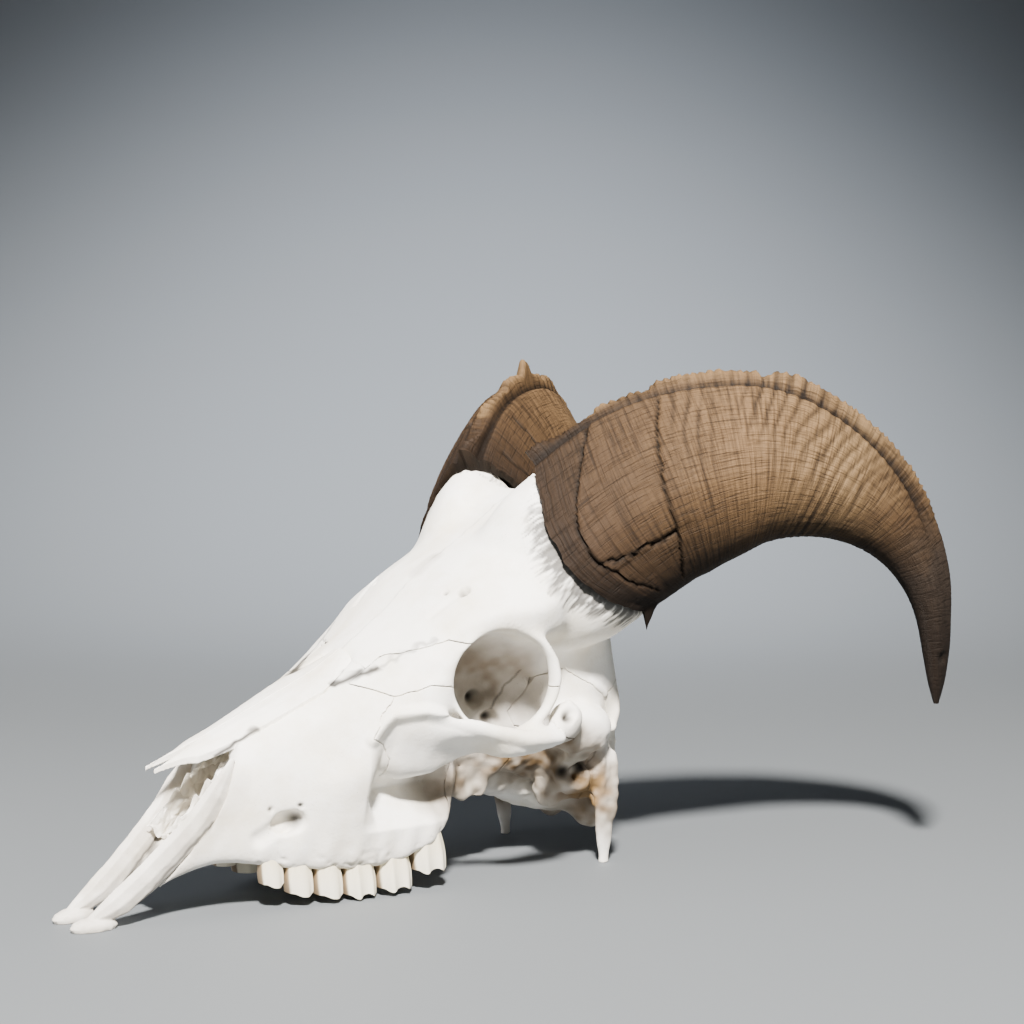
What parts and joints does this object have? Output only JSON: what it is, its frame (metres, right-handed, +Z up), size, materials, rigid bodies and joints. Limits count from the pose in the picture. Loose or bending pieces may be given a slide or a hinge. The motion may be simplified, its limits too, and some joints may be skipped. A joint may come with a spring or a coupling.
{
  "type": "tahr skull",
  "caption": "Life-size bleached skull of a bull tahr without its lower jaw, with upper cheek teeth and a pair of ridged, keeled horns that sweep back and down.",
  "frame": {"origin": "on the floor, below the middle of the bounding box, in the skull's median plane", "axes": "+X from the nose towards the back of the head and the horn tips, +Y towards the animal's right, +Z up"},
  "size_m": [0.3844, 0.2616, 0.2253],
  "materials": {
    "bone": "dry, bleached, slightly porous bone",
    "horn": "weathered brown horn sheath, ringed and fibrous"
  },
  "bodies": {
    "root": {"nasal_left": "bone", "nasal_right": "bone", "premaxilla_left": "bone", "premaxilla_right": "bone", "maxilla_left": "bone", "maxilla_right": "bone", "lacrimal_left": "bone", "lacrimal_right": "bone", "zygomatic_left": "bone", "zygomatic_right": "bone", "temporal_left": "bone", "temporal_right": "bone", "frontal": "bone", "parietal": "bone", "sphenoid": "bone", "occipital": "bone", "horn_left": "horn", "horn_right": "horn"}
  },
  "joints": []
}
